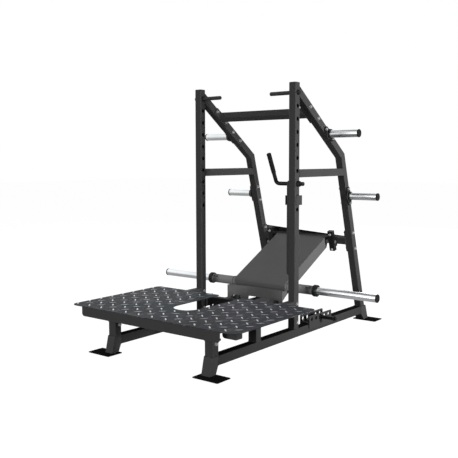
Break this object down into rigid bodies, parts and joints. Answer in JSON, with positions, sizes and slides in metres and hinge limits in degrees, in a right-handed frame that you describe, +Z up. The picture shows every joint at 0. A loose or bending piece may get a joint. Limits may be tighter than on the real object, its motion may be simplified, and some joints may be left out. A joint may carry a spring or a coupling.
{
  "type": "belt squat machine",
  "caption": "Plate-loaded belt squat machine with a tread plate platform, a pivoting lever with weight horns, a hand-operated catch and weight storage horns.",
  "frame": {"origin": "centre of the footprint's bounding box, on the floor", "axes": "+Z up, +Y from the platform towards the lever's pivot, +X to the right of a person who stands in front of the platform and looks at the uprights"},
  "size_m": [1.736, 1.942, 1.644],
  "materials": {
    "frame_paint": "charcoal powder coat, fine texture",
    "lever_paint": "mid grey powder coat, satin",
    "tread_plate": "dark slate tread plate with worn bright lugs",
    "chrome": "polished, faint scratches",
    "black_plastic": "matt moulded",
    "black_steel": "black, satin",
    "rubber": "matt"
  },
  "bodies": {
    "frame": {"base_rail_left": "frame_paint", "front_post_left": "frame_paint", "mid_post_left": "frame_paint", "deck_rail_left": "frame_paint", "upright_left": "frame_paint", "rear_leg_left": "frame_paint", "side_tie_left": "frame_paint", "front_foot_left": "frame_paint", "rear_foot_left": "frame_paint", "band_bracket_left": "frame_paint", "horn_mount_upper_left": "frame_paint", "horn_mount_lower_left": "frame_paint", "storage_horn_upper_left": "chrome", "storage_horn_lower_left": "chrome", "horn_cap_upper_left": "black_plastic", "horn_cap_lower_left": "black_plastic", "grab_peg_left": "black_steel", "bearing_block_left": "black_steel", "band_peg_left": "black_steel", "bumper_left": "rubber", "base_rail_right": "frame_paint", "front_post_right": "frame_paint", "mid_post_right": "frame_paint", "deck_rail_right": "frame_paint", "upright_right": "frame_paint", "rear_leg_right": "frame_paint", "side_tie_right": "frame_paint", "front_foot_right": "frame_paint", "rear_foot_right": "frame_paint", "band_bracket_right": "frame_paint", "horn_mount_upper_right": "frame_paint", "horn_mount_lower_right": "frame_paint", "storage_horn_upper_right": "chrome", "storage_horn_lower_right": "chrome", "horn_cap_upper_right": "black_plastic", "horn_cap_lower_right": "black_plastic", "grab_peg_right": "black_steel", "bearing_block_right": "black_steel", "band_peg_right": "black_steel", "bumper_right": "rubber", "front_cross_angle": "frame_paint", "base_cross_tube": "frame_paint", "top_cross_tube": "frame_paint", "pivot_cross_tube": "frame_paint", "catch_guide": "frame_paint", "platform_plate": "tread_plate"},
    "lever": {"lever_panel": "lever_paint", "pivot_shaft": "lever_paint", "lever_cross_tube": "lever_paint", "lever_skirt": "lever_paint", "belt_eye": "lever_paint", "lever_horn_left": "chrome", "lever_collar_left": "black_steel", "lever_horn_cap_left": "black_plastic", "lever_horn_right": "chrome", "lever_collar_right": "black_steel", "lever_horn_cap_right": "black_plastic"},
    "catch": {"catch_arm": "frame_paint", "catch_handle": "black_steel", "catch_grip": "rubber"}
  },
  "joints": [
    {"name": "lever_pivot", "type": "hinge", "parent": "frame", "child": "lever", "pos_m": [0, 0.66999, 0.58304], "axis": [-1, 0, 0], "range_deg": [0, 40]},
    {"name": "catch_swing", "type": "hinge", "parent": "frame", "child": "catch", "pos_m": [0.38, -0.03, 1.018], "axis": [1, 0, 0], "range_deg": [0, 10]}
  ]
}
